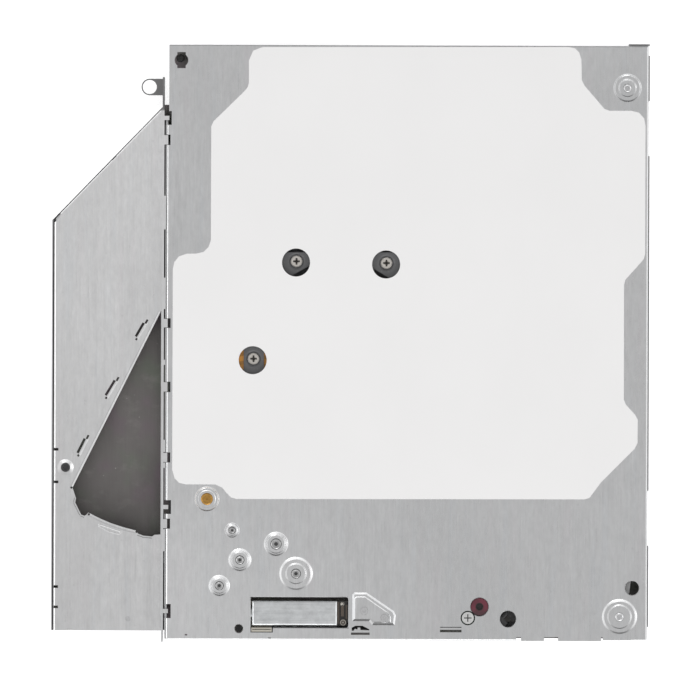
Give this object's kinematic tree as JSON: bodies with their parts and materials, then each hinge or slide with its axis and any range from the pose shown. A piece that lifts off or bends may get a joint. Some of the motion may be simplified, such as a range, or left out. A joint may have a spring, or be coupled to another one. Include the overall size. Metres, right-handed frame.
{
  "type": "slot-loading optical disc drive",
  "caption": "Slim slot-loading disc drive lying label side up: thin side wing, pressed steel covers, sliding cam, tilting traverse with spindle and pickup, disc levers.",
  "frame": {"origin": "centre of the overall footprint, on the outer face of the disc-side cover, which the drive rests on", "axes": "+Z out of the labelled base plate (up as pictured), +Y towards the rear with the host connector, -Y the disc slot, +X away from the thin wing"},
  "size_m": [0.1278, 0.128, 0.0127],
  "materials": {
    "cover_steel": "plain rolled sheet, inner side darker",
    "base_steel": "zinc plated sheet with a straight grain",
    "frame_steel": "zinc plated sheet, satin",
    "label_paper": "blank white film, matte",
    "black_plastic": "black moulded",
    "felt": "black felt",
    "screw_steel": "plated, recessed cross",
    "screw_black": "black oxide",
    "board_green": "green solder mask",
    "chip_black": "moulded package",
    "connector_black": "black moulded",
    "gold": "plated contact",
    "motor_can": "plated, satin",
    "post_steel": "turned",
    "brass": "turned",
    "red_plastic": "dark red moulded",
    "white_gear": "natural acetal",
    "lever_steel": "pressed sheet",
    "traverse_dark": "dark grey coated sheet",
    "rail_steel": "ground",
    "spring_steel": "sprung collar",
    "flex_orange": "polyimide film",
    "core_steel": "stacked laminations",
    "copper": "enamelled copper wire",
    "magnet": "bonded magnet",
    "rubber_ring": "friction ring",
    "sled_metal": "die cast",
    "lens": "coated lens"
  },
  "bodies": {
    "chassis": {"top_cover": "cover_steel", "base_plate": "base_steel", "wing_frame": "frame_steel", "label": "label_paper", "slot_guide": "black_plastic", "slot_felts": "felt", "cover_screws": "screw_steel", "circuit_board": "board_green", "board_chips": "chip_black", "board_screws": "screw_steel", "host_connector": "connector_black", "connector_contacts": "gold", "loading_motor": "motor_can", "motor_end_cap": "black_plastic", "motor_bracket": "frame_steel", "bracket_screw": "screw_black", "gear_posts": "post_steel", "lever_posts": "post_steel", "brass_pivot": "brass", "gear_carrier": "frame_steel", "sensor_bush": "red_plastic", "front_screw": "screw_steel", "sensor_board": "board_green", "frame_rivets": "post_steel", "slider_guides": "frame_steel", "tilt_blocks": "black_plastic"},
    "cam_slider": {"cam_slider": "black_plastic"},
    "rack_gear": {"rack_gear": "white_gear"},
    "step_gear_upper": {"step_gear_upper": "white_gear"},
    "step_gear_middle": {"step_gear_middle": "white_gear"},
    "worm_wheel": {"worm_wheel": "white_gear"},
    "loading_worm": {"loading_worm": "brass"},
    "lever_eject": {"lever_eject": "lever_steel", "guide_eject": "white_gear"},
    "lever_left": {"lever_left": "lever_steel", "guide_left": "white_gear"},
    "lever_right": {"lever_right": "lever_steel", "guide_right": "white_gear"},
    "traverse": {"traverse_frame": "traverse_dark", "guide_rails": "rail_steel", "spindle_plate": "traverse_dark", "skew_screws": "screw_steel", "skew_springs": "spring_steel", "spindle_flex": "flex_orange", "spindle_bearing": "brass", "stator_core": "core_steel", "stator_coils": "copper", "sled_stepper": "motor_can"},
    "rotor": {"rotor_bell": "motor_can", "rotor_magnet": "magnet", "centring_hub": "black_plastic", "hub_catches": "white_gear", "turntable_ring": "rubber_ring"},
    "pickup": {"pickup_sled": "sled_metal", "laser_unit": "motor_can", "pickup_cover": "frame_steel", "focus_magnets": "magnet"},
    "lens": {"lens_holder": "black_plastic", "objective_lens": "lens"},
    "lead_screw": {"lead_screw": "rail_steel"}
  },
  "joints": [
    {"name": "cam_slide", "type": "slide", "parent": "chassis", "child": "cam_slider", "axis": [0, 1, 0], "range_m": [0, 0.009]},
    {"name": "traverse_tilt", "type": "hinge", "parent": "chassis", "child": "traverse", "pos_m": [0.04525, -0.04568, 0.009], "axis": [-0.7071, -0.7071, 0], "range_deg": [0, 2.6]},
    {"name": "rack_gear_turn", "type": "hinge", "parent": "chassis", "child": "rack_gear", "pos_m": [-0.03047, -0.03343, 0.0081], "axis": [0, 0, 1], "range_deg": [-104.5, 0]},
    {"name": "upper_gear_turn", "type": "hinge", "parent": "chassis", "child": "step_gear_upper", "pos_m": [-0.02506, -0.0401, 0.009], "axis": [0, 0, 1], "range_deg": [0, 143.5]},
    {"name": "middle_gear_turn", "type": "hinge", "parent": "chassis", "child": "step_gear_middle", "pos_m": [-0.0234, -0.04644, 0.01], "axis": [0, 0, 1], "range_deg": [-315.5, 0]},
    {"name": "worm_wheel_turn", "type": "hinge", "parent": "chassis", "child": "worm_wheel", "pos_m": [-0.02778, -0.05195, 0.0092], "axis": [0, 0, 1], "range_deg": [0, 693]},
    {"name": "loading_worm_turn", "type": "hinge", "parent": "chassis", "child": "loading_worm", "pos_m": [-0.02778, -0.05779, 0.0092], "axis": [1, 0, 0], "range_deg": [-13850, 0]},
    {"name": "eject_lever_swing", "type": "hinge", "parent": "chassis", "child": "lever_eject", "pos_m": [0.05914, 0.05468, 0.006], "axis": [0, 0, 1], "range_deg": [0, 30]},
    {"name": "left_lever_swing", "type": "hinge", "parent": "chassis", "child": "lever_left", "pos_m": [-0.03047, -0.03343, 0.006], "axis": [0, 0, 1], "range_deg": [0, 27.1]},
    {"name": "right_lever_swing", "type": "hinge", "parent": "chassis", "child": "lever_right", "pos_m": [0.05777, -0.05832, 0.006], "axis": [0, 0, 1], "range_deg": [0, 25.1]},
    {"name": "spindle_turn", "type": "hinge", "parent": "traverse", "child": "rotor", "pos_m": [0, -0.00043, 0.007], "axis": [0, 0, 1], "continuous": true},
    {"name": "pickup_travel", "type": "slide", "parent": "traverse", "child": "pickup", "axis": [0.7071, -0.7071, 0], "range_m": [-0.0008, 0.034]},
    {"name": "lead_screw_turn", "type": "hinge", "parent": "traverse", "child": "lead_screw", "pos_m": [0.03953, -0.01747, 0.0092], "axis": [0.7071, -0.7071, 0], "range_deg": [-4085, 100]},
    {"name": "lens_focus", "type": "slide", "parent": "pickup", "child": "lens", "axis": [0, 0, 1], "range_m": [-0.0005, 0.0004], "stiffness_N_per_m": 30}
  ],
  "couplings": [
    {"joint": "traverse_tilt", "follows": "cam_slide", "rad_per_m": 5.0347},
    {"joint": "rack_gear_turn", "follows": "cam_slide", "rad_per_m": -201.12},
    {"joint": "upper_gear_turn", "follows": "cam_slide", "rad_per_m": 276.54},
    {"joint": "middle_gear_turn", "follows": "cam_slide", "rad_per_m": -608.39},
    {"joint": "worm_wheel_turn", "follows": "cam_slide", "rad_per_m": 1338.5},
    {"joint": "loading_worm_turn", "follows": "cam_slide", "rad_per_m": -26769},
    {"joint": "left_lever_swing", "follows": "eject_lever_swing", "ratio": 0.9},
    {"joint": "right_lever_swing", "follows": "eject_lever_swing", "ratio": 0.83333},
    {"joint": "lead_screw_turn", "follows": "pickup_travel", "rad_per_m": -2094.4}
  ]
}
